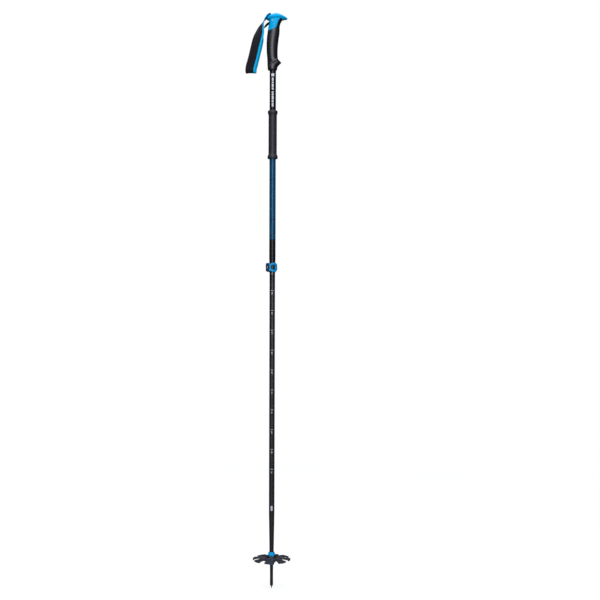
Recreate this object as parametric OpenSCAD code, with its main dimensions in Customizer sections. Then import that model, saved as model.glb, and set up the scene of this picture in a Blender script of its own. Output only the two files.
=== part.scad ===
// Two-section adjustable ski pole with a cam-lever clamp, a beaked grip and a wrist strap.
// Origin at the point of the tip, +Z up the shaft, +X towards the beak of the grip,
// -Y towards the clamp lever. The strap hangs on the -X side.

/* [Overall] */
// Height from the tip point to the top of the grip, fully extended
overall_h = 1450; // [1400:1:1500]
// How far the lower section slides into the upper one
slide_travel = 500; // [300:10:500]

/* [Shafts] */
// Outer diameter of the upper shaft
upper_d = 16; // [15.6:0.1:16.4]
// Wall thickness of the upper shaft
upper_wall = 0.75; // [0.6:0.05:0.75]
// Outer diameter of the lower shaft
lower_d = 14; // [13.6:0.1:14]
// Outer diameter of the lower shaft where it meets the basket
lower_end_d = 11; // [10.6:0.1:11.2]
// Wall thickness of the lower shaft
lower_wall = 1; // [0.8:0.05:1.1]

/* [Basket] */
// Radius from the axis to the end of a petal
basket_r = 48.5; // [44:0.5:50]
// Number of petals
petal_count = 8; // [6:1:8]
// Direction of the first petal, in degrees from +X
petal_turn = -7; // [-22:1:22]
// Fall of a petal below the horizontal, in degrees
petal_fall = 7; // [6:1:18]

/* [Clamp] */
// Height of the lower edge of the clamp above the tip
clamp_z = 797; // [780:1:810]
// Height of the clamp
clamp_h = 25; // [24:0.5:26]
// Outer radius of the plastic clamp sleeve
sleeve_r = 9.4; // [9.2:0.1:9.6]
// Inner radius of the lever where it wraps the sleeve
lever_in_r = 10.1; // [10:0.1:10.3]
// Outer radius of the lever where it wraps the sleeve
lever_out_r = 12.3; // [12:0.1:12.6]
// Distance of the hinge pin from the shaft axis, towards the strap side
hinge_x = 12.3; // [12.1:0.1:12.6]
// Distance of the hinge pin from the shaft axis, towards the front
hinge_y = 9.5; // [9.4:0.1:9.8]

/* [Grip] */
// Height of the lower end of the grip above the tip
grip_z = 1307; // [1300:1:1310]
// Height of the lower end of the foam extension above the tip
foam_z = 1083; // [1060:1:1100]
// Length of the foam extension
foam_len = 122; // [110:1:130]
// Outer diameter of the foam extension
foam_d = 21; // [20:0.5:22]

/* [Strap] */
// Width of the webbing
web_w = 25; // [24:0.5:25]
// Thickness of the webbing
web_t = 1.8; // [1.6:0.1:2]

/* [Hidden] */
$fn = 48;

eps = 0.01;
upper_r = upper_d / 2;
upper_in = upper_r - upper_wall;
lower_r = lower_d / 2;
lower_in = lower_r - lower_wall;
lower_end_r = lower_end_d / 2;
lower_end_in = lower_end_r - lower_wall;

tip_len = 6.6;
ferrule_r = 3.9;
ferrule_top_r = 4.2;
ferrule_straight_z = 40;
ferrule_stem_z = 57;
hub_low = 60;
hub_high = 80.5;
hub_r = 9.6;
hub_bore = 5.35;
collar_low = 80.7;
collar_high = 91.6;
collar_low_r = 9.6;
collar_high_r = 7.5;
sleeve_in_r = 4.25;
sleeve_out_r = 5.25;
shaft_seat_z = 84;
taper_low_z = 100;
taper_high_z = 190;
lower_top_z = 880;
guide_top_z = 890;

neck_r = 7.7;
neck_low = clamp_z + 5;
neck_high = clamp_z + 28;
swage_high = clamp_z + 33;
plug_low = guide_top_z + slide_travel + 6;
upper_top = 1408;

clamp_mid = clamp_z + clamp_h / 2;
bolt_r = 1.95;
bolt_slot = 2.3;
eye_r = 4.3;
eye_h = 3.4;
fork_slot = 4.2;
fork_h = 20;
fork_r = 3.8;
pin_r = 2;

core_r = 9.6;
core_low = 1318;
pin_x = -1;
pin_z = 1430;

// ---------------------------------------------------------------- helpers

// Tube of revolution between two heights.
module tube(r_out, r_in, z0, z1) {
    translate([0, 0, z0])
        difference() {
            cylinder(r = r_out, h = z1 - z0);
            translate([0, 0, -1])
                cylinder(r = r_in, h = z1 - z0 + 2);
        }
}

// Cylinder along Y between two places.
module y_rod(r, x, z, y0, y1) {
    translate([x, y1, z])
        rotate([90, 0, 0])
            cylinder(r = r, h = y1 - y0);
}

// One point of a superellipse: power 2 is an ellipse, more is squarer.
function squircle(a, b, t, n) =
    [a * sign(cos(t)) * pow(abs(cos(t)), 2 / n), b * sign(sin(t)) * pow(abs(sin(t)), 2 / n)];

// Solid through a stack of closed rings that all have the same number of points.
module skin(rings) {
    n = len(rings[0]);
    m = len(rings);
    points = [for (ring = rings) each ring];
    sides = [for (i = [0:m - 2]) for (j = [0:n - 1])
        each [[i * n + j, (i + 1) * n + j, (i + 1) * n + (j + 1) % n],
              [i * n + j, (i + 1) * n + (j + 1) % n, i * n + (j + 1) % n]]];
    floor_face = [for (j = [0:n - 1]) j];
    roof_face = [for (j = [n - 1:-1:0]) (m - 1) * n + j];
    polyhedron(points, concat([floor_face], sides, [roof_face]), convexity = 6);
}

// ---------------------------------------------------------------- tip and basket

// Hard tip insert: a short point with a shank that sits in the ferrule.
module carbide_tip() {
    color("dimgray")
        rotate_extrude()
            polygon([[0, 0], [0.5, 0.2], [1.9, tip_len + 0.1], [1.9, 18], [0, 18]]);
}

// Tapered tip holder: straight nose, stem through the basket and a plug inside the shaft.
module tip_ferrule() {
    color([0.12, 0.12, 0.13])
        difference() {
            rotate_extrude()
                polygon([[0, tip_len], [3.1, tip_len], [ferrule_r, 9.4], [ferrule_r, ferrule_straight_z],
                    [ferrule_top_r, ferrule_stem_z], [ferrule_top_r, shaft_seat_z],
                    [lower_end_in - 0.05, shaft_seat_z], [lower_end_in - 0.05, 125], [0, 125]]);
            translate([0, 0, -1])
                cylinder(r = 1.9, h = 19);
        }
}

// One petal, lying along +X, falling outwards, with a turned-down rim at its end.
module petal() {
    rotate([0, petal_fall, 0])
        translate([0, 0, -2]) {
            linear_extrude(2)
                polygon([[14, -7], [24, -9.4], [36, -9.4], [44.6, -11.6], [47, -10.6], [basket_r, 0],
                    [47, 10.6], [44.6, 11.6], [36, 9.4], [24, 9.4], [14, 7]]);
            translate([0, 0, -1.6])
                linear_extrude(2)
                    polygon([[44.6, -11.6], [47, -10.6], [basket_r, 0], [47, 10.6], [44.6, 11.6],
                        [43.4, 8], [44.2, 0], [43.4, -8]]);
        }
}

// Moulded basket: hub, shallow cone and the ring of petals.
module basket() {
    color([0.2, 0.2, 0.21])
        difference() {
            union() {
                rotate_extrude()
                    polygon([[hub_bore, hub_low + 4], [8, hub_low + 4], [hub_r, hub_low + 8], [hub_r, 75],
                        [28, 73.2], [28, 75.4], [hub_r, 78.6], [hub_r, hub_high], [hub_bore, hub_high]]);
                for (k = [0:petal_count - 1])
                    rotate([0, 0, petal_turn + k * 360 / petal_count])
                        translate([0, 0, 80.6])
                            petal();
            }
            translate([0, 0, 50])
                cylinder(r = hub_bore, h = 40);
            translate([0, 0, hub_high])
                cylinder(r = 20, h = 20);
        }
}

// Six-sided collar that locks the basket, with a sleeve that runs down through the hub.
module basket_collar() {
    color([0.05, 0.5, 0.85])
        difference() {
            union() {
                translate([0, 0, collar_low])
                    cylinder(r1 = collar_low_r, r2 = collar_high_r, h = collar_high - collar_low, $fn = 6);
                translate([0, 0, 58])
                    cylinder(r = sleeve_out_r, h = collar_low - 58 + 1);
            }
            translate([0, 0, 50])
                cylinder(r = sleeve_in_r, h = 60);
            translate([0, 0, shaft_seat_z])
                cylinder(r = lower_end_r + 0.05, h = 20);
        }
}

// Round ring that snaps on to the sleeve below the basket.
module basket_retainer() {
    color([0.05, 0.45, 0.8])
        rotate_extrude()
            polygon([[sleeve_out_r + 0.02, 58], [5.9, 58], [6.5, 59.5], [6.7, 61], [6.6, 63.8],
                [sleeve_out_r + 0.02, 63.8]]);
}

// ---------------------------------------------------------------- shafts

// Lower shaft: straight tube that tapers above the basket.
module lower_shaft() {
    color([0.13, 0.13, 0.14])
        rotate_extrude()
            polygon([[lower_end_in, shaft_seat_z], [lower_end_r, shaft_seat_z],
                [lower_end_r, taper_low_z], [lower_r, taper_high_z], [lower_r, lower_top_z],
                [lower_in, lower_top_z], [lower_in, taper_high_z], [lower_end_in, taper_low_z]]);
}

// Plastic guide in the top end of the lower shaft, a running fit in the upper shaft.
module lower_guide() {
    color([0.3, 0.3, 0.3])
        rotate_extrude()
            polygon([[3, lower_top_z - 25], [lower_in - 0.02, lower_top_z - 25],
                [lower_in - 0.02, lower_top_z], [upper_in - 0.06, lower_top_z],
                [upper_in - 0.06, guide_top_z - 1], [upper_in - 1, guide_top_z], [3, guide_top_z]]);
}

// Upper shaft: straight tube with a swaged and slit lower end under the clamp.
module upper_shaft() {
    color([0.13, 0.13, 0.14])
        difference() {
            rotate_extrude()
                polygon([[upper_in, neck_low], [neck_r, neck_low], [neck_r, neck_high],
                    [upper_r, swage_high], [upper_r, upper_top], [upper_in, upper_top]]);
            translate([-20, -0.6, neck_low - 1])
                cube([20, 1.2, 22]);
        }
}

// Wiper ring that closes the lower mouth of the clamp round the lower shaft.
module shaft_wiper() {
    color([0.1, 0.1, 0.1])
        rotate_extrude()
            polygon([[lower_r + 0.06, clamp_z], [8.2, clamp_z], [8.6, clamp_z + 0.4],
                [8.6, clamp_z + 1.2], [neck_r - 0.1, clamp_z + 1.2], [neck_r - 0.1, neck_low - 0.1],
                [lower_r + 0.06, neck_low - 0.1]]);
}

// ---------------------------------------------------------------- clamp

// Split plastic sleeve with two slotted ears on the strap side.
module clamp_sleeve() {
    color([0.1, 0.1, 0.11])
        difference() {
            union() {
                translate([0, 0, clamp_z + 1.3])
                    cylinder(r = sleeve_r, h = clamp_h - 2.6);
                translate([-16, -4.8, clamp_mid - 10])
                    cube([11, 9.4, 20]);
            }
            translate([0, 0, clamp_z - 5])
                cylinder(r = neck_r + 0.05, h = 40);
            translate([-30, -0.6, clamp_z - 5])
                cube([30, 1.2, 40]);
            translate([-30, -20, clamp_mid - bolt_slot])
                cube([20.8, 40, 2 * bolt_slot]);
        }
}

// Anodised back plate that cradles the sleeve and carries the nut.
module clamp_yoke() {
    color([0.03, 0.45, 0.8])
        difference() {
            translate([0, 10.8, clamp_mid])
                rotate([90, 0, 0])
                    linear_extrude(6.1)
                        polygon([[-15.6, -8.4], [-13.2, -11.2], [5.1, -11.2], [5.1, 11.2], [-13.2, 11.2],
                            [-15.6, 8.4]]);
            translate([0, 0, clamp_z - 5])
                cylinder(r = sleeve_r + 0.05, h = 40);
            translate([-30, 0, clamp_mid - bolt_slot])
                cube([20.8, 40, 2 * bolt_slot]);
            translate([0, 14, clamp_mid])
                rotate([90, 0, 0])
                    linear_extrude(4)
                        polygon([[-20, -4.2], [-8, -3.2], [-1, -1.3], [0.2, 0], [-1, 1.3], [-8, 3.2],
                            [-20, 4.2]]);
        }
}

// Eye bolt: the eye sits in the lever's fork and the thread runs back to the nut.
module clamp_eye_bolt() {
    color("silver")
        difference() {
            union() {
                translate([-hinge_x, -hinge_y, clamp_mid - eye_h / 2])
                    cylinder(r = eye_r, h = eye_h);
                intersection() {
                    y_rod(bolt_r, -hinge_x, clamp_mid, -hinge_y + 2, 16);
                    translate([-30, -20, clamp_mid - eye_h / 2])
                        cube([40, 40, eye_h]);
                }
                y_rod(bolt_r, -hinge_x, clamp_mid, -hinge_y + eye_r, 16);
            }
            translate([-hinge_x, -hinge_y, clamp_mid - 5])
                cylinder(r = pin_r + 0.02, h = 10);
        }
}

// Hinge pin through the fork and the eye.
module clamp_hinge_pin() {
    color("gainsboro")
        translate([-hinge_x, -hinge_y, clamp_mid - fork_h / 2 + 0.3])
            cylinder(r = pin_r, h = fork_h - 0.6);
}

// Plastic pad between the lever's cams and the front ear.
module clamp_cam_pad() {
    color([0.16, 0.16, 0.17])
        difference() {
            translate([-16, -5.4, clamp_mid - 9.5])
                cube([7.4, 0.6, 19]);
            translate([-30, -20, clamp_mid - bolt_slot])
                cube([20.8, 40, 2 * bolt_slot]);
        }
}

// Steel washer between the nut and the bottom of the yoke's recess.
module clamp_washer() {
    color("silver")
        difference() {
            y_rod(3.4, -hinge_x, clamp_mid, 10, 10.8);
            y_rod(bolt_r + 0.1, -hinge_x, clamp_mid, 0, 20);
        }
}

// Knurled adjusting nut.
module clamp_nut() {
    color("darkgray")
        difference() {
            y_rod(3.5, -hinge_x, clamp_mid, 11.1, 15);
            y_rod(bolt_r + 0.05, -hinge_x, clamp_mid, 0, 20);
            for (k = [0:15])
                translate([-hinge_x, 0, clamp_mid])
                    rotate([0, k * 22.5, 0])
                        translate([3.7, 16, 0])
                            rotate([90, 0, 0])
                                cylinder(r = 0.45, h = 6, $fn = 16);
        }
}

// Front outline of the lever: a D with a round side by the fork and two cut corners.
module lever_outline() {
    hh = clamp_h / 2;
    union() {
        intersection() {
            translate([4.6, 0])
                circle(r = hh);
            translate([-20, -hh])
                square([24.6, 2 * hh]);
        }
        polygon([[2, -hh], [7, -hh], [12.4, -hh + 4.6], [12.4, hh - 4.6], [7, hh], [2, hh]]);
    }
}

// Window in the lever, a smaller D.
module lever_window() {
    intersection() {
        translate([4.4, 0])
            circle(r = 6.6);
        translate([-3, -5.7])
            square([9, 11.4]);
    }
}

// Cam lever: fork and cams round the hinge pin, windowed face and an end that wraps the shaft.
module clamp_lever() {
    color([0.05, 0.55, 0.9])
        difference() {
            union() {
                intersection() {
                    tube(lever_out_r, lever_in_r, clamp_z, clamp_z + clamp_h);
                    translate([0, 4, clamp_mid])
                        rotate([90, 0, 0])
                            linear_extrude(20)
                                lever_outline();
                    translate([-9, -20, clamp_z - 1])
                        cube([40, 24, clamp_h + 2]);
                }
                translate([0, 0, clamp_mid - fork_h / 2])
                    linear_extrude(fork_h)
                        union() {
                            translate([-hinge_x, -hinge_y])
                                circle(r = fork_r);
                            polygon([[-hinge_x - 1.5, -hinge_y - 3.4], [-4.5, -11.9], [-7.4, -7.9],
                                [-hinge_x + 2.2, -hinge_y + 2.9]]);
                        }
            }
            translate([-30, -30, clamp_mid - fork_slot / 2])
                cube([30 - hinge_x + eye_r + 0.6, 40, fork_slot]);
            translate([-hinge_x, -hinge_y, clamp_z - 5])
                cylinder(r = pin_r + 0.05, h = 40);
            translate([0, -5, clamp_mid])
                rotate([90, 0, 0])
                    linear_extrude(20)
                        lever_window();
            translate([0, 0, clamp_z - 5])
                cylinder(r = lever_in_r, h = 40);
        }
}

// ---------------------------------------------------------------- grip

// Foam sleeve below the grip, with a low rim at each end.
module foam_extension() {
    r = foam_d / 2;
    z1 = foam_z + foam_len;
    color([0.15, 0.15, 0.16])
        rotate_extrude()
            polygon([[upper_r + 0.02, foam_z], [11.6, foam_z], [12.6, foam_z + 1.5], [12.9, foam_z + 5],
                [12.6, foam_z + 9], [r, foam_z + 12.5], [r, z1 - 10], [12.1, z1 - 7.5],
                [12.4, z1 - 3], [11.8, z1 - 0.8], [11, z1], [upper_r + 0.02, z1]]);
}

// Plastic plug in the top end of the upper shaft.
module shaft_plug() {
    color([0.3, 0.3, 0.3])
        translate([0, 0, plug_low])
            cylinder(r = upper_in - 0.02, h = upper_top - plug_low);
}

// Rings of the grip: height above the tip, back, front, half width and squareness.
GRIP = [[1307, -11.2, 9.8, 11, 2.2], [1311, -12.8, 11, 12.4, 2.2], [1316, -13.4, 12.4, 13, 2.2],
    [1321, -13.6, 16.5, 13, 2.1], [1325.5, -13.8, 21, 12.6, 2], [1330, -13.9, 17.5, 13, 2.1],
    [1336, -14.2, 12.9, 13.4, 2.2], [1345, -15, 12.1, 14, 2.2], [1360, -15.9, 12.2, 14.6, 2.2],
    [1375, -15.9, 13.3, 14.8, 2.2], [1388, -15.3, 14.9, 14.6, 2.2], [1400, -13.8, 16.6, 14.2, 2.2],
    [1411, -12.2, 16.9, 14.4, 2.4], [1420, -10.6, 17.4, 15, 2.8], [1427, -9.6, 19.6, 15.4, 3],
    [1432, -9.8, 22.4, 15.6, 3], [1436, -10.5, 25, 15, 2.8]];

// Outer form of the whole grip below the head.
module grip_form() {
    skin([for (g = GRIP)
        [for (k = [0:27])
            let (p = squircle((g[2] - g[1]) / 2, g[3], k * 360 / 28, g[4]))
            [(g[1] + g[2]) / 2 + p[0], p[1], g[0]]]]);
}

// Side outline of the hard panel that comes down from the head over the back of the grip.
module panel_zone() {
    translate([0, 40, 0])
        rotate([90, 0, 0])
            linear_extrude(80)
                polygon([[-30, 1404], [-11.4, 1405], [0, 1408.5], [8.8, 1412.5], [12.1, 1423], [17.5, 1434],
                    [17.5, 1470], [-30, 1470]]);
}

// Soft grip moulded over the core.
module grip_body() {
    color([0.16, 0.16, 0.17])
        difference() {
            grip_form();
            panel_zone();
            head_form();
            translate([0, 0, 1300])
                cylinder(r = upper_r + 0.02, h = 20);
            translate([0, 0, core_low])
                cylinder(r = core_r + 0.02, h = 1409.5 - core_low);
        }
}

// Stations of the head along X: place, underside, top and half width.
HEAD = [[-16.2, 1435.6, 1437.8, 6], [-14.6, 1434.4, 1440.4, 10], [-11, 1433, 1443.6, 14],
    [-5, 1431.4, 1446.8, 16.6], [2, 1431, 1449, 17.6], [9, 1431, 1450, 17.2], [16, 1431.6, 1448.6, 15.6],
    [23, 1433, 1446, 12.8], [29.5, 1434.2, 1442.8, 9.4], [34, 1434.6, 1440.2, 6.2],
    [36.6, 1436, 1438.2, 2.6]];

// Domed cap with its beak.
module head_form() {
    lift = overall_h - 1450;
    skin([for (h = HEAD)
        [for (k = [0:27])
            let (p = squircle(h[3], (h[2] - h[1]) / 2, k * 360 / 28, 2.2))
            [h[0], p[0], lift + (h[1] + h[2]) / 2 + p[1]]]]);
}

// Hard head: cap, back panel and the core that the grip is moulded on.
module grip_head() {
    color([0.02, 0.6, 0.93])
        difference() {
            union() {
                head_form();
                intersection() {
                    grip_form();
                    panel_zone();
                }
                tube(core_r, upper_r + 0.02, core_low, 1409);
            }
            translate([0, 0, 1390])
                cylinder(r = upper_r + 0.02, h = upper_top + 0.05 - 1390);
            translate([-7, -13.2, 1435.4])
                cube([4.1, 26.4, 40]);
            translate([-30, -10.8, 1422.4])
                cube([26.6, 21.6, 6.4]);
            translate([-6.5, -11.2, 1421])
                cube([9, 22.4, 16.5]);
            y_rod(1.75, pin_x, pin_z, -40, 0);
            y_rod(2.55, pin_x, pin_z, 0, 40);
            y_rod(2.7, pin_x, pin_z, -40, -13.6);
            y_rod(2.7, pin_x, pin_z, 13.6, 40);
        }
}

// ---------------------------------------------------------------- strap and its lock

// Wedge that pinches the webbing inside the head.
module strap_wedge() {
    color([0.12, 0.12, 0.12])
        difference() {
            translate([0, 10.8, 0])
                rotate([90, 0, 0])
                    linear_extrude(21.6)
                        polygon([[-3.4, 1421.6], [2, 1421.6], [2, 1437], [-2.2, 1437], [-3.4, 1433]]);
            y_rod(2.75, pin_x, pin_z, -40, 40);
        }
}

// Screw that holds the strap in the head.
module strap_screw() {
    color("gainsboro")
        union() {
            y_rod(1.7, pin_x, pin_z, -14, 10);
            difference() {
                y_rod(2.5, pin_x, pin_z, -15.3, -13.8);
                y_rod(1.2, pin_x, pin_z, -20, -14.6);
            }
        }
}

// Threaded barrel that the screw goes into from the other side.
module strap_barrel() {
    color("silver")
        difference() {
            y_rod(2.5, pin_x, pin_z, -11, 15.3);
            y_rod(1.72, pin_x, pin_z, -20, 10.5);
        }
}

// Middle line of the webbing from the top of the head, down, round the loop and back in behind.
// Each entry is x, y, z and the turn of the blue edge from +X towards -Y, in degrees.
STRAP = [[-4.8, 0, 1438, 90], [-4.6, 0, 1441.5, 90], [-4.7, 0, 1444.6, 90], [-6.3, 0, 1447.4, 90],
    [-9.2, 0, 1447.9, 90], [-12, 0, 1446, 90], [-14.6, 0, 1443.4, 90], [-17, 0, 1440.2, 90],
    [-20.2, -0.3, 1435.8, 88], [-23.4, -0.5, 1430.6, 80], [-25.8, -1, 1426, 72],
    [-28.4, -1.8, 1421, 63], [-29.9, -2.8, 1416.7, 55], [-31, -3.8, 1411.6, 46],
    [-32.1, -5, 1406.6, 38], [-32.9, -6, 1401.5, 28], [-34.1, -7, 1396, 18], [-36.2, -8, 1389, 9],
    [-38.8, -8.5, 1381, 3], [-41.3, -9, 1371, 0], [-43.6, -9, 1361, 0], [-45.9, -8.6, 1351, 0],
    [-48.3, -8, 1341, 0], [-50.9, -7.2, 1331, 0], [-53.9, -6.4, 1321, 0], [-55.9, -5.8, 1313, 0],
    [-56.6, -5.5, 1306.5, 0], [-56.4, -4.2, 1302.4, 0], [-55.6, -1.6, 1300.4, 0],
    [-54.6, 1.6, 1300.4, 0], [-53.8, 4.2, 1302.4, 0], [-53.4, 5.5, 1306.5, 0],
    [-52.6, 5.9, 1313, 0], [-50.6, 6.4, 1321, 0], [-48.2, 7.2, 1331, 0], [-45.9, 8, 1341, 0],
    [-43.6, 8.6, 1351, 0], [-41.1, 8.8, 1361, 0], [-38.7, 8.4, 1371, 3], [-36.6, 7.4, 1381, 10],
    [-34.3, 5.6, 1391, 28], [-30.2, 3.8, 1400.5, 50], [-26, 2.2, 1408.6, 68],
    [-21.8, 0.8, 1415, 80], [-17.4, 0.2, 1420, 88], [-13.2, 0, 1423.8, 90], [-9.4, 0, 1425.9, 90],
    [-5, 0, 1426.6, 90]];

// Width of the webbing at one entry: it is folded narrower where it enters the back of the head.
function width_at(i) =
    web_w - 5 * max(0, min(1, (i - len(STRAP) + 6) / 4));

// Cross-section of the webbing at one entry, square to the middle line.
function web_ring(i) =
    let (last = len(STRAP) - 1,
         a = STRAP[max(i - 1, 0)],
         b = STRAP[min(i + 1, last)],
         run = [b[0] - a[0], b[1] - a[1], b[2] - a[2]],
         t = run / norm(run),
         raw = [cos(STRAP[i][3]), -sin(STRAP[i][3]), 0],
         flat = raw - t * (raw * t),
         w = flat / norm(flat) * width_at(i) / 2,
         n = cross(t, w) / norm(w) * web_t / 2,
         c = [STRAP[i][0], STRAP[i][1], STRAP[i][2]])
    [c - w - n, c + w - n, c + w + n, c - w + n];

// Wrist strap: one length of webbing.
module strap() {
    color([0.12, 0.12, 0.13])
        skin([for (i = [0:len(STRAP) - 1]) web_ring(i)]);
}

carbide_tip();
tip_ferrule();
basket();
basket_collar();
basket_retainer();
lower_shaft();
lower_guide();
upper_shaft();
shaft_wiper();
clamp_sleeve();
clamp_yoke();
clamp_eye_bolt();
clamp_hinge_pin();
clamp_cam_pad();
clamp_washer();
clamp_nut();
clamp_lever();
foam_extension();
shaft_plug();
grip_body();
grip_head();
strap_wedge();
strap_screw();
strap_barrel();
strap();
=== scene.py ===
import math

import bpy
from mathutils import Matrix, Vector


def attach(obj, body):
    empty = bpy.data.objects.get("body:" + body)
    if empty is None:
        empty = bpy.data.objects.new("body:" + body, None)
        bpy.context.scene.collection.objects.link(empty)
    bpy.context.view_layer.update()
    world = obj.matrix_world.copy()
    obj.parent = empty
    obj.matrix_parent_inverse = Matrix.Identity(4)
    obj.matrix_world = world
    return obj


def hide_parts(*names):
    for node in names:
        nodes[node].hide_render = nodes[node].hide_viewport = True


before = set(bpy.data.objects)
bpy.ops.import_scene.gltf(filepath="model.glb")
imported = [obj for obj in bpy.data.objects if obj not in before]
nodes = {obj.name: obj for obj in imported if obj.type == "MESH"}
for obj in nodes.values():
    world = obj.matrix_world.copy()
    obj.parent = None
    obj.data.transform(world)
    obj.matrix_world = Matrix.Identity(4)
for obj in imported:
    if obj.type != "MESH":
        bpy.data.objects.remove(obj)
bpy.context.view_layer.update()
scene = bpy.context.scene

# ---- Studio -------------------------------------------------------------------------------
# A level camera half way up the pole, a white floor that runs out into a white room, and
# two soft lights: a tall box straight in front and a wide one overhead.
AXIS_SHIFT = 0.0701
EYE_HEIGHT = 0.7273
EYE_BACK = 2.6
ROLL = math.radians(-0.152)
LENS = 61.8
LAMP_WHITE = (0.9, 0.94, 1)
ROOM_FILL = 0.035
FLOOR_RADIUS = 1.9
FLOOR_GLOW = 0.9
FLOOR_GREY = (0.2, 0.2, 0.2, 1)

camera_data = bpy.data.cameras.new("camera")
camera_data.lens = LENS
camera_data.sensor_width = 36
camera = bpy.data.objects.new("camera", camera_data)
camera.location = (AXIS_SHIFT, -EYE_BACK, EYE_HEIGHT)
camera.rotation_euler = (math.radians(90), ROLL, 0)
scene.collection.objects.link(camera)
scene.camera = camera
scene.view_settings.view_transform = "Standard"


def wire(tree, kind, inputs=None, **settings):
    """Adds one shader node; each input is a value or another node's output."""
    made = tree.nodes.new("ShaderNode" + kind)
    for key, value in settings.items():
        setattr(made, key, value)
    for key, value in (inputs or {}).items():
        if isinstance(value, bpy.types.NodeSocket):
            tree.links.new(value, made.inputs[key])
        else:
            made.inputs[key].default_value = value
    return made


room = bpy.data.worlds.new("white_room")
room.use_nodes = True
scene.world = room
seen = wire(room.node_tree, "Background", {"Color": (1, 1, 1, 1), "Strength": 1.0})
lit = wire(room.node_tree, "Background", {"Color": (*LAMP_WHITE, 1), "Strength": ROOM_FILL})
path = wire(room.node_tree, "LightPath")
room_mix = wire(room.node_tree, "MixShader",
                {0: path.outputs["Is Camera Ray"], 1: lit.outputs[0], 2: seen.outputs[0]})
room.node_tree.links.new(room_mix.outputs[0], room.node_tree.nodes["World Output"].inputs[0])

bpy.ops.object.select_all(action="DESELECT")
bpy.ops.mesh.primitive_circle_add(vertices=96, radius=FLOOR_RADIUS, fill_type="NGON",
                                  location=(0, 0, -0.0005))
studio_floor = bpy.context.object
studio_floor.name = "studio_floor"
pale = bpy.data.materials.new("pale_floor")
pale.use_nodes = True
floor_seen = wire(pale.node_tree, "Emission", {"Color": (1, 1, 1, 1), "Strength": FLOOR_GLOW})
floor_lit = wire(pale.node_tree, "BsdfDiffuse", {"Color": FLOOR_GREY})
floor_look = wire(pale.node_tree, "AddShader", {0: floor_seen.outputs[0], 1: floor_lit.outputs[0]})
path = wire(pale.node_tree, "LightPath")
floor_mix = wire(pale.node_tree, "MixShader",
                 {0: path.outputs["Is Camera Ray"], 1: floor_lit.outputs[0], 2: floor_look.outputs[0]})
pale.node_tree.links.new(floor_mix.outputs[0], pale.node_tree.nodes["Material Output"].inputs[0])
studio_floor.data.materials.append(pale)


def softbox(name, place, aim, wide, high, power):
    """A soft rectangular light at a place, turned towards its aim."""
    lamp = bpy.data.lights.new(name, "AREA")
    lamp.shape = "RECTANGLE"
    lamp.size = wide
    lamp.size_y = high
    lamp.energy = power
    lamp.color = LAMP_WHITE
    holder = bpy.data.objects.new(name, lamp)
    holder.location = place
    holder.rotation_euler = (Vector(aim) - Vector(place)).to_track_quat("-Z", "Y").to_euler()
    scene.collection.objects.link(holder)


softbox("front_box", (0.05, -3.2, 1.5), (0, 0, 0.75), 1.5, 2.8, 62)
softbox("top_box", (-0.1, -0.8, 4.2), (0, 0, 0), 4, 4, 150)

# ---- Tip ----------------------------------------------------------------------------------
# A ground carbide point pressed into a moulded nylon ferrule; the ferrule's stem runs up
# through the basket into the shaft, and its nose is scuffed where it meets the ground.
MM = 0.001
NOSE_LOW = 0.006
NOSE_HIGH = 0.03


def tone(red, green, blue):
    """A screen colour, 0 to 255 a channel, as the linear colour that shaders take."""
    made = []
    for channel in (red, green, blue):
        share = channel / 255
        made.append(share / 12.92 if share <= 0.04045 else ((share + 0.055) / 1.055) ** 2.4)
    return (*made, 1)


def finish(name, dark, light, rough, grain=900, depth=0.02, mottle=70, metal=0, coat=0, gloss=0.5):
    """A finish with mottled colour, uneven roughness and a fine raised grain."""
    made = bpy.data.materials.new(name)
    made.use_nodes = True
    tree = made.node_tree
    shader = tree.nodes["Principled BSDF"]
    shader.inputs["Metallic"].default_value = metal
    shader.inputs["Coat Weight"].default_value = coat
    shader.inputs["Coat Roughness"].default_value = 0.12
    shader.inputs["Specular IOR Level"].default_value = gloss
    place = wire(tree, "TexCoord").outputs["Object"]
    cloud = wire(tree, "TexNoise", {"Vector": place, "Scale": mottle, "Detail": 4})
    colour = wire(tree, "ValToRGB", {"Fac": cloud.outputs["Fac"]})
    colour.color_ramp.elements[0].position = 0.35
    colour.color_ramp.elements[0].color = dark
    colour.color_ramp.elements[1].position = 0.65
    colour.color_ramp.elements[1].color = light
    tree.links.new(colour.outputs["Color"], shader.inputs["Base Color"])
    fine = wire(tree, "TexNoise", {"Vector": place, "Scale": grain, "Detail": 3})
    uneven = wire(tree, "MapRange", {"Value": fine.outputs["Fac"], "From Min": 0.3, "From Max": 0.7,
                                     "To Min": rough - 0.06, "To Max": rough + 0.06})
    tree.links.new(uneven.outputs["Result"], shader.inputs["Roughness"])
    raised = wire(tree, "Bump", {"Height": fine.outputs["Fac"], "Strength": 0.6, "Distance": depth * MM})
    tree.links.new(raised.outputs["Normal"], shader.inputs["Normal"])
    return made


def paint_over(made, mask, colour):
    """Lays a second colour over a finish where the mask is 1."""
    tree = made.node_tree
    shader = tree.nodes["Principled BSDF"]
    under = shader.inputs["Base Color"].links[0].from_socket
    over = wire(tree, "Mix", {"Factor": mask, 6: under, 7: colour}, data_type="RGBA")
    tree.links.new(over.outputs[2], shader.inputs["Base Color"])


def place_of(made):
    """The Object coordinates of a finish, split into X, Y and Z."""
    tree = made.node_tree
    found = [n for n in tree.nodes if n.type == "TEX_COORD"][0]
    return wire(tree, "SeparateXYZ", {"Vector": found.outputs["Object"]})


def maths(tree, operation, first, second=0.0, third=0.0):
    """One arithmetic step on values or outputs."""
    return wire(tree, "Math", {0: first, 1: second, 2: third}, operation=operation).outputs[0]


def dress(piece, made):
    """Gives a piece its one finish."""
    piece.data.materials.clear()
    piece.data.materials.append(made)


carbide = finish("ground_carbide", tone(120, 122, 126), tone(165, 167, 172), 0.32,
                 grain=2500, depth=0.01, metal=1)
dress(nodes["carbide_tip"], carbide)

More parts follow.
